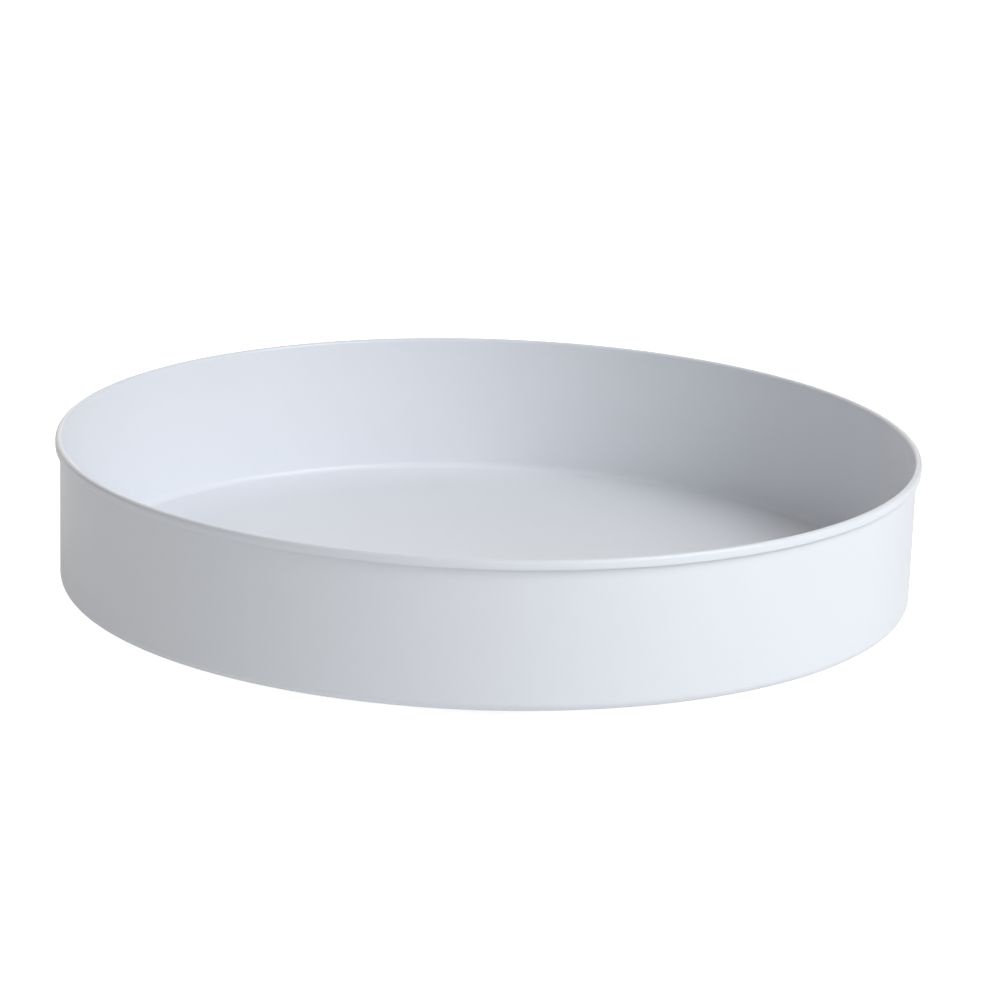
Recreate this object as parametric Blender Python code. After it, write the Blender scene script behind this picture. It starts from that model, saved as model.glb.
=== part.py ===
"""Lazy susan turntable: a pressed steel tray with a hemmed rim, on a ball-bearing swivel foot.

Units are metres and +Z is up. The origin is on the table, on the axis that the tray turns about.
Sizes are stacked from the table up: feet, base, lower race, balls, upper race, mounting plate, tray.
"""

import math

import bmesh
import bpy
from mathutils import Vector

# Tray: one drawn sheet, its wall leaning out a little and its rim folded outwards into a hem
TRAY_DIAMETER = 0.225  # over the folded rim
TRAY_HEIGHT = 0.0384
TRAY_SHEET = 0.0006
TRAY_CORNER_RADIUS = 0.002  # middle of the sheet, between floor and wall
WALL_DRAFT = 0.0003  # how much wider the wall is at its top than at its foot
HEM_DEPTH = 0.0018  # from the inside of the wall to the outside of the fold
HEM_HEIGHT = 0.0024  # from the top of the fold to its cut edge

# Ball bearing: two pressed races, a cage and steel balls
BALL_COUNT = 12
BALL_DIAMETER = 0.005
BALL_CIRCLE_RADIUS = 0.025
BALL_CLEARANCE = 0.0002  # ball to race groove
POCKET_CLEARANCE = 0.0002  # ball to cage pocket
RACE_SHEET = 0.0012
GROOVE_HALF_ANGLE = 55.0  # degrees of groove on each side of a ball's lowest point
SHOULDER_WIDTH = 0.0016  # flat of the race outside its groove
STEP_WIDTH = 0.0014  # sloping step from shoulder to flange
CAGE_WIDTH = 0.0084
CAGE_THICKNESS = 0.0015

# Pivot: a tubular rivet that keeps the two races together
PIVOT_RADIUS = 0.005
PIVOT_BORE_RADIUS = 0.0039
PIVOT_CLEARANCE = 0.0003  # rivet to the holes it passes through
PIVOT_HEAD_RADIUS = 0.0085
PIVOT_HEAD_THICKNESS = 0.001
WASHER_RADIUS = 0.0095
WASHER_THICKNESS = 0.001

# Screws and nuts that hold the upper race to the mounting plate
SCREW_DIAMETER = 0.004
SCREW_LENGTH = 0.005
SCREW_HEAD_DIAMETER = 0.0076
SCREW_HEAD_HEIGHT = 0.0022
SCREW_CROWN_HEIGHT = 0.0014  # the domed part of the head
SCREW_CLEARANCE = 0.00025
SCREW_COUNT = 4
NUT_ACROSS_FLATS = 0.007
NUT_HEIGHT = 0.002
ACCESS_CLEARANCE = 0.0006  # driver hole, all round a screw head
FLANGE_EDGE = 0.0008  # metal left round the driver hole

# Rivets that hold the lower race to the base
RIVET_DIAMETER = 0.004
RIVET_HEAD_DIAMETER = 0.0076
RIVET_HEAD_HEIGHT = 0.0013
RIVET_END_DIAMETER = 0.006  # of the end that is formed over
HEAD_RIM = 0.0003  # straight edge round a rivet's domed head
RIVET_COUNT = 4

# Mounting plate: a pressed dish welded under the tray's floor
PLATE_SHEET = 0.0012
PLATE_DEPTH = 0.0025  # from its welded flange down to its floor
PLATE_MARGIN = 0.0012  # floor of the dish outside the race's flange
PLATE_STEP_WIDTH = 0.003
PLATE_FLANGE_WIDTH = 0.008
PLATE_HOLE_RADIUS = 0.010

# Base: an inverted dish on rubber feet
BASE_SHEET = 0.0012
BASE_HEIGHT = 0.0077
BASE_CORNER_RADIUS = 0.0034  # middle of the sheet
BASE_MARGIN = 0.0012  # flat of the base outside the race's flange
BASE_DRAFT = 0.0006  # how much wider the skirt is at its foot
BASE_HOLE_RADIUS = 0.0105
FOOT_LIFT = 0.0015  # how far the feet stand below the base's skirt
FOOT_RADIUS = 0.006
FOOT_TIP_RADIUS = 0.005
FOOT_EDGE = 0.0006  # chamfer round the foot's sole
FOOT_MARGIN = 0.0015  # foot to the inside of the skirt
FOOT_COUNT = 4

SEAT_GAP = 0.0003  # between pieces that rest on each other

# Where the patterns start, in degrees round the axis
SCREW_START = 22.5
RIVET_START = 0.0
FOOT_START = 45.0

# Facets
TRAY_SEGMENTS = 64
PLATE_SEGMENTS = 48
RACE_SEGMENTS = 40
SMALL_SEGMENTS = 24
FASTENER_SEGMENTS = 12
HOLE_SEGMENTS = 16
DEGREES_PER_BEND_STEP = 24.0
HEM_STEPS = 8
GROOVE_STEPS = 6
CROWN_STEPS = 3
BALL_RINGS = 8

# Heights that follow, from the table up
BASE_TOP = FOOT_LIFT + BASE_HEIGHT
GROOVE_RADIUS = BALL_DIAMETER / 2 + BALL_CLEARANCE
BEARING_HALF_HEIGHT = GROOVE_RADIUS + RACE_SHEET
BALL_HEIGHT = BASE_TOP + SEAT_GAP + BEARING_HALF_HEIGHT
BEARING_TOP = BALL_HEIGHT + BEARING_HALF_HEIGHT
PLATE_FLOOR = BEARING_TOP + SEAT_GAP
PLATE_TOP = PLATE_FLOOR + PLATE_SHEET + PLATE_DEPTH
TRAY_BOTTOM = PLATE_TOP + SEAT_GAP
TRAY_TOP = TRAY_BOTTOM + TRAY_HEIGHT

# Radii that follow, from the ball circle out
ACCESS_RADIUS = SCREW_HEAD_DIAMETER / 2 + ACCESS_CLEARANCE
GROOVE_MIDDLE = GROOVE_RADIUS + RACE_SHEET / 2
GROOVE_HALF_WIDTH = GROOVE_MIDDLE * math.sin(math.radians(GROOVE_HALF_ANGLE))
SHOULDER_HEIGHT = GROOVE_MIDDLE * math.cos(math.radians(GROOVE_HALF_ANGLE))
SHOULDER_RADIUS = BALL_CIRCLE_RADIUS + GROOVE_HALF_WIDTH + SHOULDER_WIDTH
FLANGE_INNER_RADIUS = SHOULDER_RADIUS + STEP_WIDTH
FASTENER_CIRCLE_RADIUS = FLANGE_INNER_RADIUS + FLANGE_EDGE + ACCESS_RADIUS
RACE_RADIUS = FASTENER_CIRCLE_RADIUS + ACCESS_RADIUS + FLANGE_EDGE
BASE_RADIUS = RACE_RADIUS + BASE_MARGIN + BASE_CORNER_RADIUS + BASE_SHEET / 2 + BASE_DRAFT
FOOT_CIRCLE_RADIUS = BASE_RADIUS - BASE_DRAFT - BASE_SHEET - FOOT_MARGIN - FOOT_RADIUS


def remove_all_objects():
    for obj in list(bpy.data.objects):
        bpy.data.objects.remove(obj, do_unlink=True)


def finish(name, colour, roughness, metallic):
    """A Principled material."""
    material = bpy.data.materials.new(name)
    material.use_nodes = True
    shader = material.node_tree.nodes["Principled BSDF"]
    shader.inputs["Base Color"].default_value = (*colour, 1.0)
    shader.inputs["Roughness"].default_value = roughness
    shader.inputs["Metallic"].default_value = metallic
    return material


def turning_axis(name):
    """An empty on the vertical axis, which the pieces that turn together hang from."""
    empty = bpy.data.objects.new(name, None)
    bpy.context.collection.objects.link(empty)
    return empty


def place(name, bm, material, parent, location=(0, 0, 0), turn_degrees=0.0):
    """Makes an object of the mesh, smooth on its round faces, and hangs it from its parent."""
    bmesh.ops.recalc_face_normals(bm, faces=bm.faces)
    mesh = bpy.data.meshes.new(name)
    bm.to_mesh(mesh)
    bm.free()
    mesh.materials.append(material)
    mesh.shade_smooth()
    mesh.set_sharp_from_angle(angle=math.radians(30))
    obj = bpy.data.objects.new(name, mesh)
    bpy.context.collection.objects.link(obj)
    obj.location = location
    obj.rotation_euler.z = math.radians(turn_degrees)
    obj.parent = parent
    return obj


def on_circle(radius, start_degrees, count):
    """(angle in degrees, point) for places spread evenly round the axis."""
    for index in range(count):
        degrees = start_degrees + 360.0 * index / count
        angle = math.radians(degrees)
        yield degrees, Vector((radius * math.cos(angle), radius * math.sin(angle), 0))


def arc(centre, radius, start_degrees, end_degrees, steps):
    """Points along an arc in the (radius, height) plane, both ends included."""
    points = []
    for index in range(steps + 1):
        angle = math.radians(start_degrees + (end_degrees - start_degrees) * index / steps)
        points.append(Vector((centre.x + radius * math.cos(angle), centre.y + radius * math.sin(angle))))
    return points


def bent_path(corners):
    """Points along straight runs joined by bends. Each corner is (radius, height, bend radius)."""
    path = [Vector(corners[0][:2])]
    for before, corner, after in zip(corners, corners[1:], corners[2:]):
        point, bend = Vector(corner[:2]), corner[2]
        if not bend:
            path.append(point)
            continue
        back = (Vector(before[:2]) - point).normalized()
        ahead = (Vector(after[:2]) - point).normalized()
        half = back.angle(ahead) / 2
        centre = point + (back + ahead).normalized() * bend / math.sin(half)
        spoke = point + back * bend / math.tan(half) - centre
        turn = math.pi - 2 * half
        turn = math.copysign(turn, ahead.x * back.y - ahead.y * back.x)
        start = math.degrees(math.atan2(spoke.y, spoke.x))
        steps = max(1, round(math.degrees(abs(turn)) / DEGREES_PER_BEND_STEP))
        path += arc(centre, bend, start, start + math.degrees(turn), steps)
    path.append(Vector(corners[-1][:2]))
    return path


def sheet_outline(path, thickness):
    """The outline of a sheet of even thickness whose middle follows the path."""
    above, below = [], []
    for index, point in enumerate(path):
        runs = []
        if index > 0:
            runs.append((point - path[index - 1]).normalized())
        if index < len(path) - 1:
            runs.append((path[index + 1] - point).normalized())
        along = sum(runs, Vector((0, 0))).normalized()
        across = Vector((-along.y, along.x))
        square = Vector((-runs[0].y, runs[0].x))
        offset = across * (thickness / 2 / across.dot(square))
        above.append(point + offset)
        below.append(point - offset)
    return above + below[::-1]


def turned(outline, segments):
    """The outline, given as (radius, height) points, spun round the vertical axis.

    An outline whose first and last points lie on the axis is left open there, and closes at its poles.
    """
    bm = bmesh.new()
    verts = [bm.verts.new((point[0], 0, point[1])) for point in outline]
    edges = [bm.edges.new(pair) for pair in zip(verts, verts[1:])]
    if outline[0][0] > 0:
        edges.append(bm.edges.new((verts[-1], verts[0])))
    bmesh.ops.spin(
        bm,
        geom=verts + edges,
        cent=(0, 0, 0),
        axis=(0, 0, 1),
        angle=math.tau,
        steps=segments,
        use_merge=True,
    )
    bmesh.ops.remove_doubles(bm, verts=bm.verts, dist=1e-7)
    return bm


def drill(target, radius, points, low, high):
    """Cuts round vertical holes of one size, centred on the points, from height low to high."""
    bm = bmesh.new()
    for point in points:
        made = bmesh.ops.create_cone(
            bm,
            cap_ends=True,
            segments=HOLE_SEGMENTS,
            radius1=radius,
            radius2=radius,
            depth=high - low,
        )
        bmesh.ops.translate(bm, verts=made["verts"], vec=(point.x, point.y, (low + high) / 2))
    mesh = bpy.data.meshes.new(target.name + "_drill")
    bm.to_mesh(mesh)
    bm.free()
    cutter = bpy.data.objects.new(mesh.name, mesh)
    bpy.context.collection.objects.link(cutter)
    cutter.hide_render = True
    cutter.display_type = "WIRE"
    boolean = target.modifiers.new(mesh.name, "BOOLEAN")
    boolean.operation = "DIFFERENCE"
    boolean.solver = "EXACT"
    boolean.object = cutter


def ring_outline(inner, outer, low, high):
    return [(inner, low), (outer, low), (outer, high), (inner, high)]


def crown(radius, rim_height, rise):
    """A domed head's outline, a quarter of an ellipse from its rim to the axis. It hangs if rise < 0."""
    points = []
    for index in range(CROWN_STEPS + 1):
        angle = math.pi / 2 * index / CROWN_STEPS
        points.append((round(radius * math.cos(angle), 9), rim_height + rise * math.sin(angle)))
    return points


def screw_places():
    return [point for _, point in on_circle(FASTENER_CIRCLE_RADIUS, SCREW_START, SCREW_COUNT)]


def rivet_places():
    return [point for _, point in on_circle(FASTENER_CIRCLE_RADIUS, RIVET_START, RIVET_COUNT)]


def make_tray(coating, parent):
    """Floor, wall and hemmed rim in one sheet. The hem is folded outwards and hangs clear of the wall."""
    fold = (HEM_DEPTH - TRAY_SHEET) / 2
    top = Vector((TRAY_DIAMETER / 2 - HEM_DEPTH / 2, TRAY_TOP - HEM_DEPTH / 2))
    wall_foot = top.x - fold - WALL_DRAFT
    floor_middle = TRAY_BOTTOM + TRAY_SHEET / 2
    path = bent_path(
        [(0, floor_middle, 0), (wall_foot, floor_middle, TRAY_CORNER_RADIUS), (top.x - fold, top.y, 0)]
    )
    path += arc(top, fold, 180, 0, HEM_STEPS)[1:]
    path.append(Vector((top.x + fold, TRAY_TOP - HEM_HEIGHT)))
    place("tray", turned(sheet_outline(path, TRAY_SHEET), TRAY_SEGMENTS), coating, parent)


def make_mounting_plate(coating, parent):
    """A shallow dish whose flange is welded under the tray, with a hole for each screw."""
    middle = PLATE_FLOOR + PLATE_SHEET / 2
    dish_edge = RACE_RADIUS + PLATE_MARGIN
    flange_start = dish_edge + PLATE_STEP_WIDTH
    path = bent_path(
        [
            (PLATE_HOLE_RADIUS, middle, 0),
            (dish_edge, middle, 0),
            (flange_start, middle + PLATE_DEPTH, 0),
            (flange_start + PLATE_FLANGE_WIDTH, middle + PLATE_DEPTH, 0),
        ]
    )
    bm = turned(sheet_outline(path, PLATE_SHEET), PLATE_SEGMENTS)
    plate = place("mounting_plate", bm, coating, parent)
    hole = SCREW_DIAMETER / 2 + SCREW_CLEARANCE
    drill(plate, hole, screw_places(), PLATE_FLOOR - PLATE_SHEET, PLATE_FLOOR + 2 * PLATE_SHEET)


def race_path(side):
    """Middle of a race's sheet: hub, groove, shoulder, step and flange. side is +1 above the balls."""
    groove = Vector((BALL_CIRCLE_RADIUS, BALL_HEIGHT))
    mid_groove = 90 * side
    start = mid_groove + side * GROOVE_HALF_ANGLE
    end = mid_groove - side * GROOVE_HALF_ANGLE
    shoulder = BALL_HEIGHT + side * SHOULDER_HEIGHT
    flange = BALL_HEIGHT + side * (BEARING_HALF_HEIGHT - RACE_SHEET / 2)
    return [
        Vector((PIVOT_RADIUS + PIVOT_CLEARANCE, shoulder)),
        *arc(groove, GROOVE_MIDDLE, start, end, GROOVE_STEPS),
        Vector((SHOULDER_RADIUS, shoulder)),
        Vector((FLANGE_INNER_RADIUS, flange)),
        Vector((RACE_RADIUS, flange)),
    ]


def make_race(name, side, steel, parent):
    bm = turned(sheet_outline(race_path(side), RACE_SHEET), RACE_SEGMENTS)
    return place(name, bm, steel, parent)


def make_upper_race(steel, parent):
    race = make_race("upper_race", 1, steel, parent)
    hole = SCREW_DIAMETER / 2 + SCREW_CLEARANCE
    drill(race, hole, screw_places(), BEARING_TOP - 2 * RACE_SHEET, BEARING_TOP + RACE_SHEET)


def make_lower_race(steel, parent):
    """Its flange has a hole for each rivet, and one for a screwdriver that each screw can be turned over."""
    race = make_race("lower_race", -1, steel, parent)
    low = BASE_TOP + SEAT_GAP - RACE_SHEET
    high = BASE_TOP + SEAT_GAP + 2 * RACE_SHEET
    drill(race, RIVET_DIAMETER / 2 + SCREW_CLEARANCE, rivet_places(), low, high)
    drill(race, ACCESS_RADIUS, screw_places()[:1], low, high)


def make_cage(nylon, parent):
    """A flat ring with a pocket for each ball."""
    inner = BALL_CIRCLE_RADIUS - CAGE_WIDTH / 2
    outer = BALL_CIRCLE_RADIUS + CAGE_WIDTH / 2
    low = BALL_HEIGHT - CAGE_THICKNESS / 2
    high = BALL_HEIGHT + CAGE_THICKNESS / 2
    outline = ring_outline(inner, outer, low, high)
    cage = place("ball_cage", turned(outline, PLATE_SEGMENTS), nylon, parent)
    pockets = [point for _, point in on_circle(BALL_CIRCLE_RADIUS, 0, BALL_COUNT)]
    reach = 2 * CAGE_THICKNESS
    drill(cage, BALL_DIAMETER / 2 + POCKET_CLEARANCE, pockets, low - reach, high + reach)


def make_balls(steel, parent):
    """Each ball has its own origin at its centre, with its X axis pointing out from the bearing."""
    for index, (degrees, point) in enumerate(on_circle(BALL_CIRCLE_RADIUS, 0, BALL_COUNT), 1):
        bm = bmesh.new()
        bmesh.ops.create_uvsphere(
            bm,
            u_segments=FASTENER_SEGMENTS,
            v_segments=BALL_RINGS,
            radius=BALL_DIAMETER / 2,
        )
        centre = (point.x, point.y, BALL_HEIGHT)
        place(f"ball_{index:02d}", bm, steel, parent, centre, degrees)


def make_pivot(steel, zinc, nylon, parent):
    """A tubular rivet through both races, with a spacer between them and a washer under its rolled end."""
    hub_face = SHOULDER_HEIGHT + RACE_SHEET / 2
    gap_half = SHOULDER_HEIGHT - RACE_SHEET / 2 - SEAT_GAP
    sleeve = PIVOT_RADIUS + PIVOT_CLEARANCE
    spacer = ring_outline(sleeve, WASHER_RADIUS, BALL_HEIGHT - gap_half, BALL_HEIGHT + gap_half)
    place("pivot_spacer", turned(spacer, SMALL_SEGMENTS), nylon, parent)

    washer_top = BALL_HEIGHT - hub_face - SEAT_GAP
    washer = ring_outline(sleeve, WASHER_RADIUS, washer_top - WASHER_THICKNESS, washer_top)
    place("pivot_washer", turned(washer, SMALL_SEGMENTS), zinc, parent)

    head_low = BALL_HEIGHT + hub_face + SEAT_GAP
    head_high = head_low + PIVOT_HEAD_THICKNESS
    roll_high = washer_top - WASHER_THICKNESS - SEAT_GAP
    roll_low = roll_high - PIVOT_HEAD_THICKNESS
    edge = PIVOT_HEAD_THICKNESS / 3
    rivet = [
        (PIVOT_BORE_RADIUS, roll_low),
        (PIVOT_HEAD_RADIUS - edge, roll_low),
        (PIVOT_HEAD_RADIUS, roll_low + edge),
        (PIVOT_HEAD_RADIUS, roll_high),
        (PIVOT_RADIUS, roll_high),
        (PIVOT_RADIUS, head_low),
        (PIVOT_HEAD_RADIUS, head_low),
        (PIVOT_HEAD_RADIUS, head_high - edge),
        (PIVOT_HEAD_RADIUS - edge, head_high),
        (PIVOT_BORE_RADIUS, head_high),
    ]
    place("pivot_rivet", turned(rivet, SMALL_SEGMENTS), steel, parent)


def make_screws(zinc, parent):
    """Pan-head screws driven up through the upper race. Their heads hang below its flange."""
    head_top = BEARING_TOP - RACE_SHEET - SEAT_GAP
    rim = head_top - SCREW_HEAD_HEIGHT + SCREW_CROWN_HEIGHT
    head = SCREW_HEAD_DIAMETER / 2
    shank = SCREW_DIAMETER / 2
    outline = [
        *crown(head, rim, -SCREW_CROWN_HEIGHT)[::-1],
        (head, head_top),
        (shank, head_top),
        (shank, head_top + SCREW_LENGTH),
        (0, head_top + SCREW_LENGTH),
    ]
    for index, point in enumerate(screw_places(), 1):
        place(f"tray_screw_{index}", turned(outline, FASTENER_SEGMENTS), zinc, parent, point)


def make_nuts(zinc, parent):
    """Hexagonal weld nuts on the mounting plate."""
    low = PLATE_FLOOR + PLATE_SHEET + SEAT_GAP
    corner_radius = NUT_ACROSS_FLATS / 2 / math.cos(math.pi / 6)
    for index, point in enumerate(screw_places(), 1):
        bm = bmesh.new()
        made = bmesh.ops.create_cone(
            bm,
            cap_ends=True,
            segments=6,
            radius1=corner_radius,
            radius2=corner_radius,
            depth=NUT_HEIGHT,
        )
        bmesh.ops.translate(bm, verts=made["verts"], vec=(point.x, point.y, low + NUT_HEIGHT / 2))
        nut = place(f"weld_nut_{index}", bm, zinc, parent)
        hole = SCREW_DIAMETER / 2 + SCREW_CLEARANCE
        drill(nut, hole, [point], low - NUT_HEIGHT, low + 2 * NUT_HEIGHT)


def make_rivets(steel, parent):
    """Round-head rivets from under the base, their ends formed over on the lower race's flange."""
    shank = RIVET_DIAMETER / 2
    head = RIVET_HEAD_DIAMETER / 2
    end = RIVET_END_DIAMETER / 2
    rise = RIVET_HEAD_HEIGHT - HEAD_RIM
    head_top = BASE_TOP - BASE_SHEET - SEAT_GAP
    end_low = BASE_TOP + SEAT_GAP + RACE_SHEET + SEAT_GAP
    outline = [
        *crown(head, head_top - HEAD_RIM, -rise)[::-1],
        (head, head_top),
        (shank, head_top),
        (shank, end_low),
        (end, end_low),
        *crown(end, end_low + HEAD_RIM, rise),
    ]
    for index, point in enumerate(rivet_places(), 1):
        place(f"base_rivet_{index}", turned(outline, FASTENER_SEGMENTS), steel, parent, point)


def make_base(coating, parent):
    """An inverted dish with a hole for the pivot's rolled end, the rivets and a screwdriver."""
    middle = BASE_TOP - BASE_SHEET / 2
    skirt_top = BASE_RADIUS - BASE_DRAFT - BASE_SHEET / 2
    path = bent_path(
        [
            (BASE_HOLE_RADIUS, middle, 0),
            (skirt_top, middle, BASE_CORNER_RADIUS),
            (skirt_top + BASE_DRAFT, FOOT_LIFT, 0),
        ]
    )
    bm = turned(sheet_outline(path, BASE_SHEET), PLATE_SEGMENTS)
    base = place("base_shell", bm, coating, parent)
    low, high = BASE_TOP - 2 * BASE_SHEET, BASE_TOP + BASE_SHEET
    drill(base, RIVET_DIAMETER / 2 + SCREW_CLEARANCE, rivet_places(), low, high)
    drill(base, ACCESS_RADIUS, screw_places()[:1], low, high)


def make_feet(rubber, parent):
    """Tapered rubber feet, glued up inside the base."""
    top = BASE_TOP - BASE_SHEET - SEAT_GAP
    outline = [
        (0, 0),
        (FOOT_TIP_RADIUS - FOOT_EDGE, 0),
        (FOOT_TIP_RADIUS, FOOT_EDGE),
        (FOOT_RADIUS, top),
        (0, top),
    ]
    places = on_circle(FOOT_CIRCLE_RADIUS, FOOT_START, FOOT_COUNT)
    for index, (_, point) in enumerate(places, 1):
        place(f"foot_{index}", turned(outline, SMALL_SEGMENTS), rubber, parent, point)


def build():
    remove_all_objects()
    coating = finish("powder_coat", (0.80, 0.82, 0.86), 0.45, 0.0)
    zinc = finish("zinc_plate", (0.66, 0.68, 0.70), 0.38, 1.0)
    steel = finish("bright_steel", (0.74, 0.74, 0.74), 0.22, 1.0)
    nylon = finish("nylon", (0.86, 0.85, 0.80), 0.55, 0.0)
    rubber = finish("rubber", (0.05, 0.05, 0.055), 0.8, 0.0)

    base_axis = turning_axis("base_axis")
    make_base(coating, base_axis)
    make_feet(rubber, base_axis)
    make_rivets(steel, base_axis)
    make_lower_race(zinc, base_axis)
    make_pivot(steel, zinc, nylon, base_axis)

    cage_axis = turning_axis("cage_axis")
    make_cage(nylon, cage_axis)
    make_balls(steel, cage_axis)

    tray_axis = turning_axis("tray_axis")
    make_upper_race(zinc, tray_axis)
    make_screws(zinc, tray_axis)
    make_nuts(zinc, tray_axis)
    make_mounting_plate(coating, tray_axis)
    make_tray(coating, tray_axis)


build()
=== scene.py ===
# %% [markdown]
# # A lazy susan turntable
#
# A lazy susan is a round tray that turns on a low foot, so that everybody can reach what stands on it.
# This one has a white powder-coated steel tray with a hemmed rim. Under it, out of sight, sit a mounting
# plate, a ball bearing made of two pressed races, and a small base on rubber feet.
#
# The sizes, the joint and the bearing's layout are already settled in a plain working model. It is
# loaded first, as a fixed frame. Each piece is then made again round it at full quality, and rides on the
# body of the frame that it belongs to.

import math

import bmesh
import bpy
from mathutils import Euler, Matrix, Vector


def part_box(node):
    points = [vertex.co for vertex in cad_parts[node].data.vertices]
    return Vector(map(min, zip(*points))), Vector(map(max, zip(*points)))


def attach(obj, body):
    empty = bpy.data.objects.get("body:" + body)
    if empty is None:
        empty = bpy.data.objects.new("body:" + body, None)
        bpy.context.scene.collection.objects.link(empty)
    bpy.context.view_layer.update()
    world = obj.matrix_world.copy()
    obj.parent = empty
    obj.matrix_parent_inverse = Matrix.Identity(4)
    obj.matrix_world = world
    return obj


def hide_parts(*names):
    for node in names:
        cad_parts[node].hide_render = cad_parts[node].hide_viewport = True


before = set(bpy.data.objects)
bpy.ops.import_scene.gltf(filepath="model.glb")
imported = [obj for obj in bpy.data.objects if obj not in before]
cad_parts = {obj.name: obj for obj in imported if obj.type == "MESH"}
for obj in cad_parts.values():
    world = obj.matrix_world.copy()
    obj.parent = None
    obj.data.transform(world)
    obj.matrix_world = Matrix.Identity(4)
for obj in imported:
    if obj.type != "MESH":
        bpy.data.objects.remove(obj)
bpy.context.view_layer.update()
MM = 0.001

# %% [markdown]
# ## Camera
#
# The camera looks slightly down at the tray from the front, from over a metre away. Such a long lens
# keeps the ellipses of the rim and of the floor nearly alike. It could be aimed with a Track To
# constraint, but this camera is tilted a little to one side, so its angles are set one by one: first
# pitch and yaw, and then a roll about its own line of sight.

# %% Camera
TRAY_LOW, TRAY_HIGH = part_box("tray")
CAMERA_DISTANCE = 1.136
CAMERA_ELEVATION = math.radians(16.63)
CAMERA_PITCH = math.radians(15.57)
CAMERA_YAW = math.radians(0.175)
CAMERA_ROLL = math.radians(1.90)

camera = bpy.data.objects.new("camera", bpy.data.cameras.new("camera"))
bpy.context.scene.collection.objects.link(camera)
camera.data.lens = 155.55
camera.location = (
    0,
    -CAMERA_DISTANCE * math.cos(CAMERA_ELEVATION),
    TRAY_LOW.z + CAMERA_DISTANCE * math.sin(CAMERA_ELEVATION),
)
aim = Euler((math.pi / 2 - CAMERA_PITCH, 0, -CAMERA_YAW)).to_matrix()
camera.rotation_euler = (aim @ Matrix.Rotation(CAMERA_ROLL, 3, "Z")).to_euler()
bpy.context.scene.camera = camera
print("camera at", [round(value, 3) for value in camera.location])

# %% [markdown]
# ## Nodes for materials
#
# Materials are built from nodes in code. Two small helpers keep that readable: one adds a node and fills
# or links its inputs by name, and the other mixes two colours. An effect that several finishes share is a
# node group, made once, with named inputs that each finish sets for itself.

# %% Helpers for nodes
def add(tree, kind, settings=None, **inputs):
    """Adds a shader node. An input's value is a plain value, or another node's output to link to it."""
    made = tree.nodes.new("ShaderNode" + kind)
    for name, value in (settings or {}).items():
        setattr(made, name, value)
    for name, value in inputs.items():
        fill(tree, made.inputs[name.replace("_", " ")], value)
    return made


def fill(tree, socket, value):
    """Links an output to the socket, or sets the socket's own value."""
    if isinstance(value, bpy.types.NodeSocket):
        tree.links.new(value, socket)
    else:
        socket.default_value = value


def calculate(tree, operation, first, second=0.0, clamp=False):
    """A Math node's result."""
    made = add(tree, "Math", {"operation": operation, "use_clamp": clamp})
    fill(tree, made.inputs[0], first)
    fill(tree, made.inputs[1], second)
    return made.outputs[0]


def mix_colours(tree, factor, first, second):
    """A colour between the first, at factor 0, and the second, at factor 1."""
    made = add(tree, "Mix", {"data_type": "RGBA"})
    fill(tree, made.inputs["Factor"], factor)
    fill(tree, made.inputs[6], first)
    fill(tree, made.inputs[7], second)
    return made.outputs[2]


def spread(tree, value, low, high, from_low=0.0, from_high=1.0):
    """The value, stretched from one range to another and held inside it."""
    made = add(tree, "MapRange", Value=value, From_Min=from_low, From_Max=from_high)
    made.inputs["To Min"].default_value = low
    made.inputs["To Max"].default_value = high
    return made.outputs["Result"]


def new_group(name, takes, gives):
    """An empty node group: takes maps each input to its value, and gives lists the outputs."""
    group = bpy.data.node_groups.new(name, "ShaderNodeTree")
    for socket, value in takes.items():
        made = group.interface.new_socket(socket, in_out="INPUT", socket_type="NodeSocketFloat")
        made.default_value = value
    for socket in gives:
        group.interface.new_socket(socket, in_out="OUTPUT", socket_type="NodeSocketFloat")
    enter = group.nodes.new("NodeGroupInput").outputs
    leave = group.nodes.new("NodeGroupOutput").inputs
    return group, enter, leave


def use_group(tree, group, **inputs):
    """Places a node group in a material and sets its inputs. Returns its outputs."""
    made = add(tree, "Group", {"node_tree": group}, **inputs)
    return made.outputs


def new_material(name, **shader_inputs):
    """A material with a Principled shader. Returns the material, its tree and the shader."""
    material = bpy.data.materials.new(name)
    material.use_nodes = True
    tree = material.node_tree
    shader = tree.nodes["Principled BSDF"]
    for socket, value in shader_inputs.items():
        shader.inputs[socket.replace("_", " ")].default_value = value
    return material, tree, shader


# %% [markdown]
# ## Shared effects
#
# **Coat texture.** Powder coat melts and flows in an oven. It sets with a faint orange peel, soft hills
# a millimetre or two across, with a finer grain on top.
#
# **Rolled grain.** Sheet steel leaves the rolling mill with fine streaks along one direction, which still
# show through thin plating.
#
# **Track.** Where balls roll, they polish a bright ring into a race. The ring follows the distance from
# the axis, so it needs no drawn texture.
#
# **Edge wear.** Plating and coat are thinner on sharp edges. A Bevel node gives the normal that a rounded
# edge would have. Where it differs from the real normal there is an edge.
#
# **Dust.** Fine dust settles on what faces up, in soft patches.

# %% Coat texture
def make_coat_texture():
    group, enter, leave = new_group(
        "coat texture",
        {"Peel Size": 1.6 * MM, "Grain Size": 0.25 * MM, "Cloud Size": 40 * MM},
        ["Height", "Clouds"],
    )
    place = add(group, "TexCoord").outputs["Object"]
    waves = {}
    for wave, detail in (("Peel Size", 1.0), ("Grain Size", 2.0), ("Cloud Size", 3.0)):
        scale = calculate(group, "DIVIDE", 1.0, enter[wave])
        noise = add(group, "TexNoise", Vector=place, Scale=scale, Detail=detail)
        waves[wave] = noise.outputs["Fac"]
    grain = calculate(group, "MULTIPLY", waves["Grain Size"], 0.18)
    group.links.new(calculate(group, "ADD", waves["Peel Size"], grain), leave["Height"])
    group.links.new(waves["Cloud Size"], leave["Clouds"])
    return group


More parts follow.
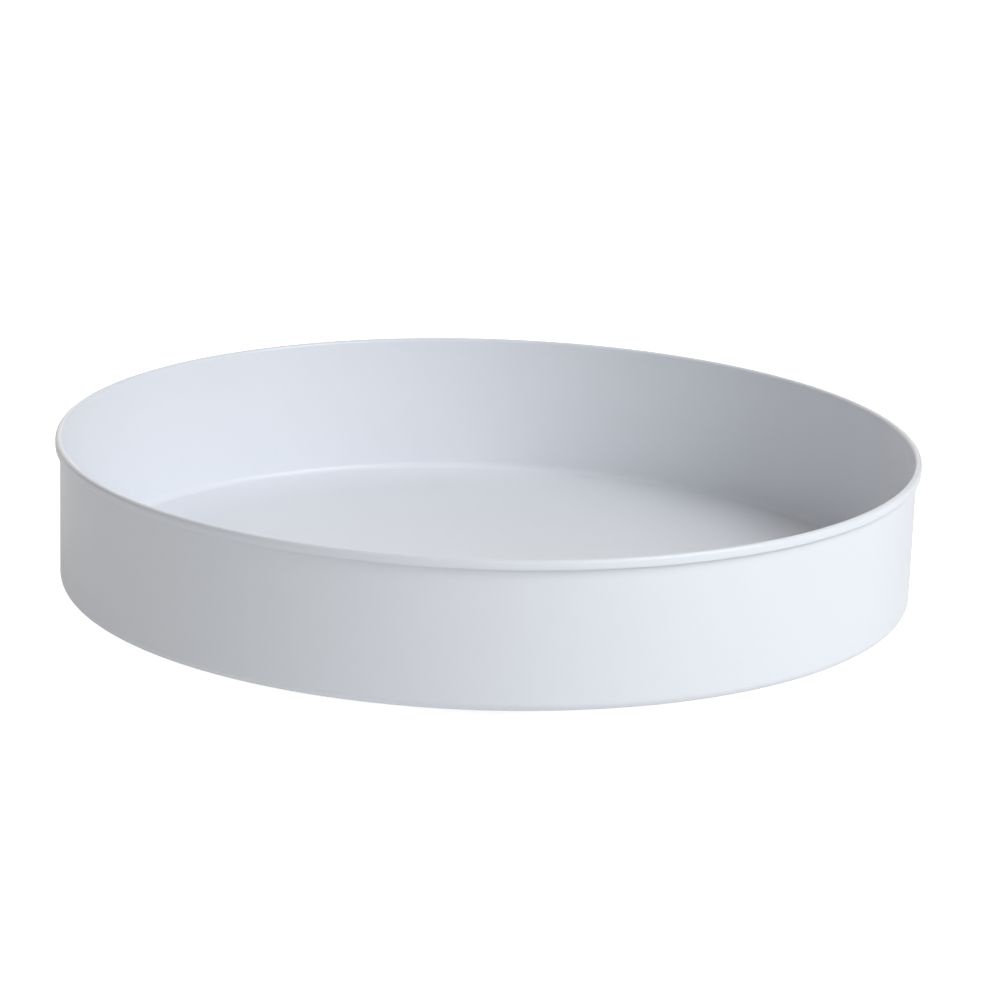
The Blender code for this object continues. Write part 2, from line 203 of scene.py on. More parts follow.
coat_texture = make_coat_texture()
print("made the coat texture with", len(coat_texture.nodes), "nodes")


# %% Rolled grain
def make_rolled_grain():
    group, enter, leave = new_group(
        "rolled grain",
        {"Streak Length": 20 * MM, "Streak Width": 0.12 * MM},
        ["Streaks", "Patches"],
    )
    place = add(group, "TexCoord").outputs["Object"]
    along = calculate(group, "DIVIDE", 1.0, enter["Streak Length"])
    across = calculate(group, "DIVIDE", 1.0, enter["Streak Width"])
    stretch = add(group, "CombineXYZ", X=along, Y=across, Z=across).outputs["Vector"]
    streaked = add(group, "VectorMath", {"operation": "MULTIPLY"})
    fill(group, streaked.inputs[0], place)
    fill(group, streaked.inputs[1], stretch)
    fine = add(group, "TexNoise", Vector=streaked.outputs["Vector"], Scale=1.0, Detail=3.0)
    patches = add(group, "TexNoise", Vector=place, Scale=90.0, Detail=4.0, Roughness=0.6)
    group.links.new(fine.outputs["Fac"], leave["Streaks"])
    group.links.new(patches.outputs["Fac"], leave["Patches"])
    return group


rolled_grain = make_rolled_grain()
print("made the rolled grain with", len(rolled_grain.nodes), "nodes")


# %% Track
def make_track():
    group, enter, leave = new_group("track", {"Radius": 25 * MM, "Width": 2 * MM}, ["Track", "Rings"])
    place = add(group, "TexCoord").outputs["Object"]
    parts = add(group, "SeparateXYZ", Vector=place).outputs
    flat = add(group, "CombineXYZ", X=parts["X"], Y=parts["Y"]).outputs["Vector"]
    length = add(group, "VectorMath", {"operation": "LENGTH"})
    fill(group, length.inputs[0], flat)
    radius = length.outputs["Value"]
    away = calculate(group, "ABSOLUTE", calculate(group, "SUBTRACT", radius, enter["Radius"]))
    share = calculate(group, "DIVIDE", away, enter["Width"])
    track = add(group, "MapRange", {"interpolation_type": "SMOOTHSTEP"}, Value=share)
    for socket, value in (("From Min", 0.35), ("From Max", 0.75), ("To Min", 1.0), ("To Max", 0.0)):
        track.inputs[socket].default_value = value
    rings = add(group, "TexNoise", {"noise_dimensions": "1D"}, W=radius, Scale=9000.0, Detail=2.0)
    group.links.new(track.outputs["Result"], leave["Track"])
    group.links.new(rings.outputs["Fac"], leave["Rings"])
    return group


track = make_track()
print("made the track with", len(track.nodes), "nodes")


# %% Edge wear
def make_edge_wear():
    group, enter, leave = new_group("edge wear", {"Reach": 0.3 * MM, "Patch Size": 2 * MM}, ["Wear"])
    place = add(group, "TexCoord").outputs["Object"]
    softened = add(group, "Bevel", {"samples": 4}, Radius=enter["Reach"]).outputs["Normal"]
    real = add(group, "NewGeometry").outputs["Normal"]
    match = add(group, "VectorMath", {"operation": "DOT_PRODUCT"})
    fill(group, match.inputs[0], softened)
    fill(group, match.inputs[1], real)
    edge = spread(group, match.outputs["Value"], 1.0, 0.0, 0.80, 0.99)
    scale = calculate(group, "DIVIDE", 1.0, enter["Patch Size"])
    patches = add(group, "TexNoise", Vector=place, Scale=scale, Detail=4.0).outputs["Fac"]
    broken = spread(group, patches, 0.0, 1.0, 0.40, 0.62)
    group.links.new(calculate(group, "MULTIPLY", edge, broken, clamp=True), leave["Wear"])
    return group


edge_wear = make_edge_wear()
print("made the edge wear with", len(edge_wear.nodes), "nodes")


# %% Dust
def make_dust():
    group, enter, leave = new_group("dust", {"Amount": 0.3, "Patch Size": 8 * MM}, ["Dust"])
    place = add(group, "TexCoord").outputs["Object"]
    upward = add(group, "SeparateXYZ", Vector=add(group, "NewGeometry").outputs["Normal"]).outputs["Z"]
    facing_up = spread(group, upward, 0.0, 1.0, 0.35, 0.95)
    scale = calculate(group, "DIVIDE", 1.0, enter["Patch Size"])
    patches = add(group, "TexNoise", Vector=place, Scale=scale, Detail=6.0, Roughness=0.65)
    settled = spread(group, patches.outputs["Fac"], 0.0, 1.0, 0.35, 0.75)
    amount = calculate(group, "MULTIPLY", settled, enter["Amount"])
    group.links.new(calculate(group, "MULTIPLY", facing_up, amount, clamp=True), leave["Dust"])
    return group


dust = make_dust()
print("made the dust with", len(dust.nodes), "nodes")

# %% [markdown]
# ## Finishes
#
# **Powder coat** is a plastic skin, so it isn't metallic. Its body is satin, and a thin clearer skin over
# it catches brighter lines along the tray's rim. Its white has a faint cool tint. The colour drifts very slightly in large soft clouds, as coat does where it
# is a little thicker.

# %% Powder coat
DUST_COLOUR = (0.42, 0.40, 0.37, 1)


def make_powder_coat(name, white, shade, dust_amount):
    material, tree, shader = new_material(
        name, Specular_IOR_Level=0.5, Coat_Weight=0.5, Coat_Roughness=0.18
    )
    texture = use_group(tree, coat_texture, Peel_Size=1.6 * MM, Grain_Size=0.25 * MM, Cloud_Size=45 * MM)
    clouds = spread(tree, texture["Clouds"], 0.0, 1.0, 0.30, 0.70)
    coat = mix_colours(tree, clouds, white, shade)
    settled = use_group(tree, dust, Amount=dust_amount, Patch_Size=9 * MM)["Dust"]
    tree.links.new(mix_colours(tree, settled, coat, DUST_COLOUR), shader.inputs["Base Color"])
    satin = spread(tree, texture["Height"], 0.52, 0.64, 0.35, 0.85)
    dulled = calculate(tree, "ADD", satin, calculate(tree, "MULTIPLY", settled, 0.4), clamp=True)
    tree.links.new(dulled, shader.inputs["Roughness"])
    bump = add(tree, "Bump", Height=texture["Height"], Distance=0.012 * MM, Strength=1.0)
    tree.links.new(bump.outputs["Normal"], shader.inputs["Normal"])
    return material


tray_coat = make_powder_coat("tray_powder_coat", (0.812, 0.829, 0.866, 1), (0.797, 0.814, 0.851, 1), 0.0)
# The pieces under the tray get a darker copy of the tray's coat. The darker white is painted shade for
# where the tray shades them, and the dust on them is real.
shaded_under_coat = make_powder_coat("shaded_under_powder_coat", (0.78, 0.80, 0.84, 1), (0.755, 0.775, 0.81, 1), 0.10)
print("made", tray_coat.name, "and", shaded_under_coat.name)

# %% [markdown]
# **Zinc plate** covers the races, screws and nuts. It is a metal with a bluish cast, a fine rolled grain
# and cloudy patches. The edges have lost some of it and are duller. On the races the balls have polished
# their track.

# %% Zinc plate
BRIGHT_ZINC = (0.73, 0.75, 0.79, 1)
DULL_ZINC = (0.58, 0.60, 0.62, 1)
WORN_STEEL = (0.40, 0.39, 0.37, 1)


def make_zinc_plate(name, has_track):
    material, tree, shader = new_material(name, Metallic=1.0)
    grain = use_group(tree, rolled_grain, Streak_Length=18 * MM, Streak_Width=0.15 * MM)
    worn = use_group(tree, edge_wear, Reach=0.25 * MM, Patch_Size=1.5 * MM)["Wear"]
    patches = spread(tree, grain["Patches"], 0.0, 1.0, 0.30, 0.70)
    colour = mix_colours(tree, patches, BRIGHT_ZINC, DULL_ZINC)
    colour = mix_colours(tree, worn, colour, WORN_STEEL)
    roughness = spread(tree, grain["Patches"], 0.24, 0.42, 0.30, 0.70)
    roughness = calculate(tree, "ADD", roughness, calculate(tree, "MULTIPLY", worn, 0.2), clamp=True)
    height = grain["Streaks"]
    if has_track:
        rolled = use_group(tree, track, Radius=BALL_CIRCLE, Width=BALL_DIAMETER / 2)
        colour = mix_colours(tree, rolled["Track"], colour, (0.80, 0.80, 0.80, 1))
        polish = spread(tree, rolled["Track"], 1.0, 0.35)
        roughness = calculate(tree, "MULTIPLY", roughness, polish)
        height = calculate(tree, "ADD", height, calculate(tree, "MULTIPLY", rolled["Rings"], 0.5))
    tree.links.new(colour, shader.inputs["Base Color"])
    tree.links.new(roughness, shader.inputs["Roughness"])
    bump = add(tree, "Bump", Height=height, Distance=0.004 * MM, Strength=1.0)
    tree.links.new(bump.outputs["Normal"], shader.inputs["Normal"])
    return material


def middle_of(node):
    """The middle of a node's box."""
    low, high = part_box(node)
    return (low + high) / 2


BALL_CIRCLE = middle_of("ball_01").x
BALL_HEIGHT = middle_of("ball_01").z
BALL_LOW, BALL_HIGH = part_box("ball_01")
BALL_DIAMETER = BALL_HIGH.z - BALL_LOW.z
race_zinc = make_zinc_plate("race_zinc", has_track=True)
zinc = make_zinc_plate("zinc", has_track=False)
print("made", race_zinc.name, "and", zinc.name)

# %% [markdown]
# **Plain steel** is what rivets are made of. Cold forming leaves it bright where the tool pressed and a
# little dark elsewhere. The **ball steel** is hardened and polished, so it is nearly a mirror, with a few
# faint cloudy marks.

# %% Plain steel and ball steel
def make_steel(name, bright, dark, roughness_low, roughness_high, bump_height):
    material, tree, shader = new_material(name, Metallic=1.0)
    grain = use_group(tree, rolled_grain, Streak_Length=2 * MM, Streak_Width=0.10 * MM)
    patches = spread(tree, grain["Patches"], 0.0, 1.0, 0.30, 0.70)
    tree.links.new(mix_colours(tree, patches, bright, dark), shader.inputs["Base Color"])
    roughness = spread(tree, grain["Streaks"], roughness_low, roughness_high, 0.30, 0.70)
    tree.links.new(roughness, shader.inputs["Roughness"])
    bump = add(tree, "Bump", Height=grain["Streaks"], Distance=bump_height, Strength=1.0)
    tree.links.new(bump.outputs["Normal"], shader.inputs["Normal"])
    return material


rivet_steel = make_steel(
    "rivet_steel", (0.66, 0.65, 0.64, 1), (0.50, 0.49, 0.48, 1), 0.26, 0.44, 0.006 * MM
)
ball_steel = make_steel(
    "polished_steel", (0.78, 0.78, 0.78, 1), (0.70, 0.70, 0.71, 1), 0.06, 0.12, 0.0005 * MM
)
print("made", rivet_steel.name, "and", ball_steel.name)

# %% [markdown]
# **Nylon** is left its own milky colour. Moulding gives it a fine matt skin. **Rubber** is black and
# matt, with a stippled skin that holds a little dust.

# %% Nylon and rubber
def make_moulded(name, colour, other_colour, roughness_low, roughness_high, stipple, dust_amount):
    material, tree, shader = new_material(name, Specular_IOR_Level=0.45)
    texture = use_group(tree, coat_texture, Peel_Size=stipple, Grain_Size=stipple / 4, Cloud_Size=12 * MM)
    settled = use_group(tree, dust, Amount=dust_amount, Patch_Size=3 * MM)["Dust"]
    clouds = spread(tree, texture["Clouds"], 0.0, 1.0, 0.30, 0.70)
    body = mix_colours(tree, clouds, colour, other_colour)
    tree.links.new(mix_colours(tree, settled, body, DUST_COLOUR), shader.inputs["Base Color"])
    roughness = spread(tree, texture["Height"], roughness_low, roughness_high, 0.35, 0.85)
    tree.links.new(roughness, shader.inputs["Roughness"])
    bump = add(tree, "Bump", Height=texture["Height"], Distance=0.02 * MM, Strength=1.0)
    tree.links.new(bump.outputs["Normal"], shader.inputs["Normal"])
    return material


nylon = make_moulded(
    "moulded_nylon", (0.84, 0.83, 0.77, 1), (0.78, 0.77, 0.70, 1), 0.42, 0.60, 0.5 * MM, 0.05
)
rubber = make_moulded(
    "moulded_rubber", (0.030, 0.030, 0.032, 1), (0.045, 0.044, 0.043, 1), 0.70, 0.88, 0.35 * MM, 0.25
)
print("made", nylon.name, "and", rubber.name)

# %% [markdown]
# ## Working by hand, in code
#
# Every piece here is pressed, turned or moulded, so nearly all of them are round. A round piece could be
# lofted ring by ring, or made with a Screw modifier. Here it is made as on a lathe: the outline is drawn
# in the plane y = 0 by extruding one vertex from point to point, and Spin carries it once round the axis.
#
# An operator acts on everything that is selected, so each piece starts by letting go of all the others.

# %% Draw an outline and spin it
def let_go():
    """Leaves edit mode and deselects every object."""
    if bpy.context.object and bpy.context.object.mode != "OBJECT":
        bpy.ops.object.mode_set(mode="OBJECT")
    bpy.ops.object.select_all(action="DESELECT")


def take(obj, mode="OBJECT"):
    """Makes this the one selected object."""
    let_go()
    obj.select_set(True)
    bpy.context.view_layer.objects.active = obj
    bpy.ops.object.mode_set(mode=mode)


def draw(name, points):
    """A chain of edges through (radius, height) points, starting from one vertex."""
    let_go()
    bpy.ops.mesh.primitive_plane_add(size=MM)
    obj = bpy.context.object
    obj.name = name
    bpy.ops.object.mode_set(mode="EDIT")
    bpy.ops.mesh.select_mode(type="VERT")
    bpy.ops.mesh.select_all(action="SELECT")
    bpy.ops.mesh.merge(type="CENTER")
    reached = Vector((0, 0, 0))
    for number, (radius, height) in enumerate(points):
        step = Vector((radius, 0, height)) - reached
        if number == 0:
            bpy.ops.transform.translate(value=step)
        else:
            bpy.ops.mesh.extrude_region_move(TRANSFORM_OT_translate={"value": step})
        reached += step
    return obj


def spin(obj, steps):
    """Carries the drawn chain once round the Z axis and joins the seam and the poles."""
    bpy.ops.mesh.select_all(action="SELECT")
    bpy.ops.mesh.spin(steps=steps, angle=math.tau, center=(0, 0, 0), axis=(0, 0, 1))
    bpy.ops.mesh.select_all(action="SELECT")
    bpy.ops.mesh.remove_doubles(threshold=0.001 * MM)
    bpy.ops.mesh.normals_make_consistent(inside=False)
    bpy.ops.object.mode_set(mode="OBJECT")


def turned(name, points, steps):
    """A round piece with that outline. An outline that is a loop ends on its first point."""
    obj = draw(name, points)
    spin(obj, steps)
    return obj


def arc(centre, radius, start, end, steps):
    """(radius, height) points along an arc, from one angle to the other in degrees, ends included."""
    points = []
    for number in range(steps + 1):
        angle = math.radians(start + (end - start) * number / steps)
        across = centre[0] + radius * math.cos(angle)
        points.append((max(across, 0.0), centre[1] + radius * math.sin(angle)))
    return points


# %% [markdown]
# Sheet metal has one thickness all over. So a pressed piece is drawn as a single line, the middle of the
# sheet, with sharp corners. Its corners are then rounded with Bevel on their rings of edges, and Solidify
# gives it its thickness. Last, a narrow bevel takes the sharpness off the cut edges.

# %% Round a ring, thicken a sheet, soften its edges
def round_ring(obj, radius, height, reach, segments):
    """Bevels the ring of edges at that radius and height. reach is how far the bend starts before it."""
    take(obj, "EDIT")
    bpy.ops.mesh.select_mode(type="EDGE")
    bpy.ops.mesh.select_all(action="DESELECT")
    mesh = bmesh.from_edit_mesh(obj.data)
    near = 0.005 * MM
    for edge in mesh.edges:
        on_ring = [
            abs(math.hypot(vert.co.x, vert.co.y) - radius) < near and abs(vert.co.z - height) < near
            for vert in edge.verts
        ]
        if all(on_ring):
            edge.select_set(True)
    bmesh.update_edit_mesh(obj.data)
    bpy.ops.mesh.bevel(offset=reach, segments=segments, affect="EDGES")
    bpy.ops.object.mode_set(mode="OBJECT")


def apply_modifier(obj, kind, **settings):
    """Adds a modifier, sets it and applies it."""
    take(obj)
    modifier = obj.modifiers.new(kind.title(), kind)
    for name, value in settings.items():
        setattr(modifier, name, value)
    bpy.ops.object.modifier_apply(modifier=modifier.name)


def thicken(obj, thickness):
    """Half of the sheet goes on each side of the line that was drawn."""
    apply_modifier(obj, "SOLIDIFY", thickness=thickness, offset=0, use_even_offset=True)


def soften(obj, width, segments=2, angle=50):
    """Bevels every edge that turns by more than the angle."""
    apply_modifier(
        obj,
        "BEVEL",
        width=width,
        segments=segments,
        limit_method="ANGLE",
        angle_limit=math.radians(angle),
    )


def subtract(obj, cutter):
    """Cuts the cutter's shape out of the piece and removes the cutter."""
    apply_modifier(obj, "BOOLEAN", operation="DIFFERENCE", solver="EXACT", object=cutter)
    bpy.data.objects.remove(cutter, do_unlink=True)


# %% [markdown]
# A finished piece is checked before it is fitted. Its mesh has to be closed, with its faces pointing
# out, which a positive volume shows. Then it gets its finish, rides on its body, and stands in for the
# plain solids of the frame that it replaces.

# %% Check a piece and fit it
def fit(obj, material, slot, body, *nodes, smooth=32):
    """Checks and finishes a piece, and fits it to the frame."""
    mesh = bmesh.new()
    mesh.from_mesh(obj.data)
    open_edges = sum(len(edge.link_faces) != 2 for edge in mesh.edges)
    volume = mesh.calc_volume(signed=True)
    triangles = sum(len(face.verts) - 2 for face in mesh.faces)
    mesh.free()
    obj.data.name = obj.name
    obj.data.materials.clear()
    obj.data.materials.append(material)
    take(obj)
    bpy.ops.object.shade_smooth_by_angle(angle=math.radians(smooth))
    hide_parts(*nodes)
    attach(obj, body)
    print(f"{obj.name}: {triangles} triangles, {volume / MM**3:.0f} mm3, {open_edges} open edges")
    return obj


def turned_copy(obj, name, degrees):
    """A copy with its own mesh, turned about the Z axis, with the turn then applied to its mesh."""
    take(obj)
    bpy.ops.object.duplicate(linked=False)
    copy = bpy.context.object
    copy.name = name
    copy.rotation_euler.z = math.radians(degrees)
    bpy.ops.object.transform_apply(location=False, rotation=True, scale=False)
    return copy


def move(obj, offset):
    """Moves a piece and applies the move, so that its origin stays on the turning axis."""
    take(obj)
    obj.location = offset
    bpy.ops.object.transform_apply(location=True, rotation=False, scale=False)


def degrees_to(node):
    """The direction of a node from the axis, in degrees."""
    place = middle_of(node)
    return math.degrees(math.atan2(place.y, place.x))


def radius_to(node):
    """The distance of a node from the axis."""
    return middle_of(node).to_2d().length


# %% [markdown]
# ## The tray
#
# The tray is drawn from one round blank of sheet steel: a flat floor, a tight corner, and a wall that
# leans out by a fraction of a degree. The rim is a hem. The sheet folds outwards through half a turn and
# then runs straight down a little way to its cut edge, clear of the wall. From the side that gives a
# bright round top, a narrow upright band and a dark line beneath it.
#
# The fold's arc starts straight above the wall, so the line runs into it without a crease.

# %% The tray's line
TRAY_SHEET = 0.6 * MM
TRAY_CORNER = 2.0 * MM
HEM_DEPTH = 1.8 * MM
HEM_HEIGHT = 2.4 * MM
WALL_DRAFT = 0.3 * MM
INSET = 0.005 * MM  # keeps the rounder mesh inside the tray's box
ROUND_STEPS = 256

fold = (HEM_DEPTH - TRAY_SHEET) / 2
fold_centre = (TRAY_HIGH.x - INSET - HEM_DEPTH / 2, TRAY_HIGH.z - INSET - HEM_DEPTH / 2)
wall_foot = fold_centre[0] - fold - WALL_DRAFT
floor_middle = TRAY_LOW.z + TRAY_SHEET / 2
hem = [*arc(fold_centre, fold, 180, 0, 20), (fold_centre[0] + fold, TRAY_HIGH.z - HEM_HEIGHT)]
print("wall from", round(wall_foot / MM, 2), "to", round(hem[0][0] / MM, 2), "mm from the axis")

# %% The tray
tray = turned("tray_finished", [(0, floor_middle), (wall_foot, floor_middle), *hem], ROUND_STEPS)
round_ring(tray, wall_foot, floor_middle, reach=TRAY_CORNER, segments=10)
thicken(tray, TRAY_SHEET)
soften(tray, 0.10 * MM)
fit(tray, tray_coat, "powder_coat", "tray", "tray")

# %% [markdown]
# ## The mounting plate
#
# The tray isn't screwed through its floor, or the screws would show inside it. A shallow pressed dish is
# spot-welded under it instead. The dish's flange touches the tray, and its floor stands clear, which
# leaves room for nuts on its upper side.
#
# Holes are drilled with a cutter shaped like a spool. It is wide where it leaves the sheet, so it
# chamfers both edges of the hole as it cuts. One cutter is turned, copied round the circle and joined, so
# that one Boolean drills them all.

# %% Drill a circle of holes
FINE_STEPS = 96
SMALL_STEPS = 48


def around(obj, circle, start, count):
    """Moves a piece from the axis out to the circle, with copies evenly round it. Returns them all."""
    move(obj, (circle, 0, 0))
    copies = [turned_copy(obj, obj.name, start + 360 * number / count) for number in range(count)]
    bpy.data.objects.remove(obj, do_unlink=True)
    return copies


def join(objects):
    """Makes one object of several."""
    if len(objects) == 1:
        return objects[0]
    let_go()
    for obj in objects:
        obj.select_set(True)
    bpy.context.view_layer.objects.active = objects[0]
    bpy.ops.object.join()
    return bpy.context.object


def drill_around(obj, radius, low, high, circle, start, count, chamfer=0.15 * MM):
    """Drills through a sheet that lies between two heights."""
    beyond = 0.3 * MM
    mouth = radius + chamfer + beyond
    outline = [
        (0, low - beyond),
        (mouth, low - beyond),
        (radius, low + chamfer),
        (radius, high - chamfer),
        (mouth, high + beyond),
        (0, high + beyond),
    ]
    cutter = turned("drill", outline, SMALL_STEPS)
    subtract(obj, join(around(cutter, circle, start, count)))


# %% The mounting plate's shape
PLATE_SHEET = 1.2 * MM
PLATE_MARGIN = 1.2 * MM
PLATE_STEP = 3.0 * MM
PLATE_HOLE = 10.0 * MM
SCREW_HOLE = 2.25 * MM
WELD_RADIUS = 2.2 * MM
WELD_DEPTH = 0.22 * MM
WELD_COUNT = 8

plate_low, plate_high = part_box("mounting_plate")
race_low, race_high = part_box("upper_race")
dish_edge = race_high.x + PLATE_MARGIN
flange_start = dish_edge + PLATE_STEP
dish_floor = plate_low.z + PLATE_SHEET / 2
flange_middle = plate_high.z - PLATE_SHEET / 2
plate = turned(
    "mounting_plate_finished",
    [
        (PLATE_HOLE, dish_floor),
        (dish_edge, dish_floor),
        (flange_start, flange_middle),
        (plate_high.x, flange_middle),
    ],
    ROUND_STEPS,
)
round_ring(plate, dish_edge, dish_floor, reach=0.9 * MM, segments=5)
round_ring(plate, flange_start, flange_middle, reach=0.9 * MM, segments=5)
thicken(plate, PLATE_SHEET)
soften(plate, 0.15 * MM)
print("the plate's dish is", round((flange_middle - dish_floor) / MM, 2), "mm deep")

# %% [markdown]
# Each spot weld leaves a shallow round dent where the electrode pressed. A dent is a slice off a large
# ball, so its cutter is turned from a short arc of a large circle.

# %% Holes and spot welds
SCREW_CIRCLE = radius_to("tray_screw_1")
SCREW_START = degrees_to("tray_screw_1")
SCREW_COUNT = 4
drill_around(
    plate, SCREW_HOLE, plate_low.z, plate_low.z + PLATE_SHEET, SCREW_CIRCLE, SCREW_START, SCREW_COUNT
)
weld_ball = (WELD_RADIUS**2 + WELD_DEPTH**2) / (2 * WELD_DEPTH)
weld_face = plate_high.z - PLATE_SHEET
weld_angle = math.degrees(math.asin(WELD_RADIUS / weld_ball))
weld_top = arc((0, weld_face + WELD_DEPTH - weld_ball), weld_ball, 90, 90 - 1.4 * weld_angle, 7)
weld_foot = weld_face - 1 * MM
weld = turned("weld", [*weld_top, (weld_top[-1][0], weld_foot), (0, weld_foot)], 32)
subtract(plate, join(around(weld, (flange_start + plate_high.x) / 2, 0, WELD_COUNT)))
fit(plate, shaded_under_coat, "powder_coat_under", "tray", "mounting_plate")

# %% [markdown]
# ## Screws and nuts
#
# A real thread is a helix. The Screw modifier makes one: it carries a short zigzag, one pitch high,
# round the axis while it climbs one pitch a turn, so each turn joins the last. Two Bisect cuts then trim
# the ends flat and fill them. The same rod, made a little larger, taps the nuts.

# %% A threaded rod
def threaded_rod(name, crest, root, pitch, low, high):
    """A closed rod with a right-handed thread, between two heights."""
    turns = math.ceil((high - low) / pitch) + 3
    foot = low - 1.5 * pitch
    ridge = [(root, 0.0), (crest, 0.42), (crest, 0.54), (root, 0.96), (root, 1.0)]
    obj = draw(name, [(radius, foot + share * pitch) for radius, share in ridge])
    apply_modifier(
        obj,
        "SCREW",
        screw_offset=pitch,
        iterations=turns,
        steps=32,
        render_steps=32,
        use_merge_vertices=False,
    )
    take(obj, "EDIT")
    bpy.ops.mesh.select_all(action="SELECT")
    bpy.ops.mesh.remove_doubles(threshold=0.001 * MM)
    for height, keep in ((low, "inner"), (high, "outer")):
        bpy.ops.mesh.select_all(action="SELECT")
        bpy.ops.mesh.bisect(
            plane_co=(0, 0, height),
            plane_no=(0, 0, 1),
            threshold=0.0001 * MM,
            use_fill=True,
            clear_inner=keep == "inner",
            clear_outer=keep == "outer",
        )
    bpy.ops.mesh.select_all(action="SELECT")
    bpy.ops.mesh.normals_make_consistent(inside=False)
    bpy.ops.object.mode_set(mode="OBJECT")
    return obj


# %% [markdown]
# The screw's head is a low dome with a cross recess. The recess is two crossed blades, each a cube drawn
# out long and thin, with its inner end pinched in edit mode, because a real recess tapers.

# %% The screws
SCREW_RADIUS = 2.0 * MM
THREAD_DEPTH = 0.38 * MM
THREAD_PITCH = 0.7 * MM
SCREW_HEAD_RADIUS = 3.8 * MM
SCREW_HEAD_HEIGHT = 2.2 * MM
SCREW_CROWN = 1.4 * MM
RECESS_WIDTH = 4.0 * MM
RECESS_SLOT = 0.95 * MM
RECESS_DEPTH = 1.5 * MM
RECESS_TAPER = 0.55


def crown(radius, rim, rise, steps):
    """(radius, height) points of a domed head, from its rim to the axis. It hangs if rise is below 0."""
    points = []
    for number in range(steps + 1):
        angle = math.pi / 2 * number / steps
        points.append((max(radius * math.cos(angle), 0.0), rim + rise * math.sin(angle)))
    points[-1] = (0, points[-1][1])
    return points


def recess_blade(foot, length, width):
    """One blade of the cross recess, that long in X and that wide in Y, with its upper end pinched."""
    let_go()
    bpy.ops.mesh.primitive_cube_add(size=1)
    blade = bpy.context.object
    bpy.ops.object.mode_set(mode="EDIT")
    bpy.ops.transform.resize(value=(length, width, 2 * RECESS_DEPTH))
    bpy.ops.transform.translate(value=(0, 0, foot))
    bpy.ops.mesh.select_mode(type="FACE")
    bpy.ops.mesh.select_all(action="DESELECT")
    mesh = bmesh.from_edit_mesh(blade.data)
    for face in mesh.faces:
        face.select_set(face.normal.z > 0.5)
    bmesh.update_edit_mesh(blade.data)
    bpy.ops.transform.resize(value=(RECESS_TAPER, RECESS_TAPER, 1))
    bpy.ops.object.mode_set(mode="OBJECT")
    return blade


screw_low, screw_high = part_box("tray_screw_1")
head_face = screw_low.z + SCREW_HEAD_HEIGHT
dome = crown(SCREW_HEAD_RADIUS, head_face - SCREW_HEAD_HEIGHT + SCREW_CROWN, -SCREW_CROWN, 10)
screw = turned("tray_screw", [*dome[::-1], (SCREW_HEAD_RADIUS, head_face), (0, head_face)], SMALL_STEPS)
soften(screw, 0.15 * MM)
for length, width in ((RECESS_WIDTH, RECESS_SLOT), (RECESS_SLOT, RECESS_WIDTH)):
    subtract(screw, recess_blade(screw_low.z, length, width))
shank = threaded_rod(
    "shank",
    SCREW_RADIUS,
    SCREW_RADIUS - THREAD_DEPTH,
    THREAD_PITCH,
    head_face - 0.2 * MM,
    screw_high.z,
)
apply_modifier(screw, "BOOLEAN", operation="UNION", solver="EXACT", object=shank)
bpy.data.objects.remove(shank, do_unlink=True)
screw.name = "tray_screw"
for number, copy in enumerate(around(screw, SCREW_CIRCLE, SCREW_START, SCREW_COUNT), 1):
    copy.name = f"tray_screw_{number}_finished"
    fit(copy, zinc, "zinc_plate", "tray", f"tray_screw_{number}")

# %% [markdown]
# A nut starts as a six-sided cylinder. Its corners are cut back by keeping only what also lies inside a
# turned disc with bevelled edges, which is how the curved chamfer lines on a real nut come about.

# %% The weld nuts
NUT_ACROSS_FLATS = 7.0 * MM
NUT_CHAMFER = 0.35 * MM

nut_low, nut_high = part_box("weld_nut_1")
corner_radius = NUT_ACROSS_FLATS / 2 / math.cos(math.pi / 6)
let_go()
bpy.ops.mesh.primitive_cylinder_add(
    vertices=6,
    radius=corner_radius,
    depth=nut_high.z - nut_low.z,
    location=(0, 0, (nut_low.z + nut_high.z) / 2),
)
nut = bpy.context.object
nut.name = "weld_nut"
bpy.ops.object.transform_apply(location=True, rotation=False, scale=False)
face_radius = NUT_ACROSS_FLATS / 2 * 0.98
slope = NUT_CHAMFER / (corner_radius - face_radius)
over = 0.3 * MM
disc = turned(
    "disc",
    [
        (0, nut_low.z - over * slope),
        (face_radius - over, nut_low.z - over * slope),
        (corner_radius + over, nut_low.z + NUT_CHAMFER + over * slope),
        (corner_radius + over, nut_high.z - NUT_CHAMFER - over * slope),
        (face_radius - over, nut_high.z + over * slope),
        (0, nut_high.z + over * slope),
    ],
    FINE_STEPS,
)
apply_modifier(nut, "BOOLEAN", operation="INTERSECT", solver="EXACT", object=disc)
bpy.data.objects.remove(disc, do_unlink=True)
tap = threaded_rod(
    "tap",
    SCREW_RADIUS + 0.1 * MM,
    SCREW_RADIUS + 0.1 * MM - THREAD_DEPTH,
    THREAD_PITCH,
    nut_low.z - 1 * MM,
    nut_high.z + 1 * MM,
)
subtract(nut, tap)
for number, copy in enumerate(around(nut, SCREW_CIRCLE, SCREW_START, SCREW_COUNT), 1):
    copy.name = f"weld_nut_{number}_finished"
    fit(copy, zinc, "zinc_plate", "tray", f"weld_nut_{number}")

# %% [markdown]
# ## The bearing
#
# Two races are pressed from sheet. Each has a groove for the balls, a flat shoulder on both sides of it,
# and a flange further out, which is bolted or riveted on. The lower race is the upper one upside down.
# A race could be cut from solid, but a line with the same thickness all over is what pressing gives.

# %% The races
RACE_SHEET = 1.2 * MM
BALL_CLEARANCE = 0.2 * MM
GROOVE_HALF_ANGLE = 55.0
SHOULDER_WIDTH = 1.6 * MM
RACE_STEP = 1.4 * MM
HUB_HOLE = 5.3 * MM
DRIVER_HOLE = 4.4 * MM
RIVET_HOLE = 2.25 * MM
RIVET_CIRCLE = radius_to("base_rivet_1")
RIVET_START = degrees_to("base_rivet_1")
RIVET_COUNT = 4


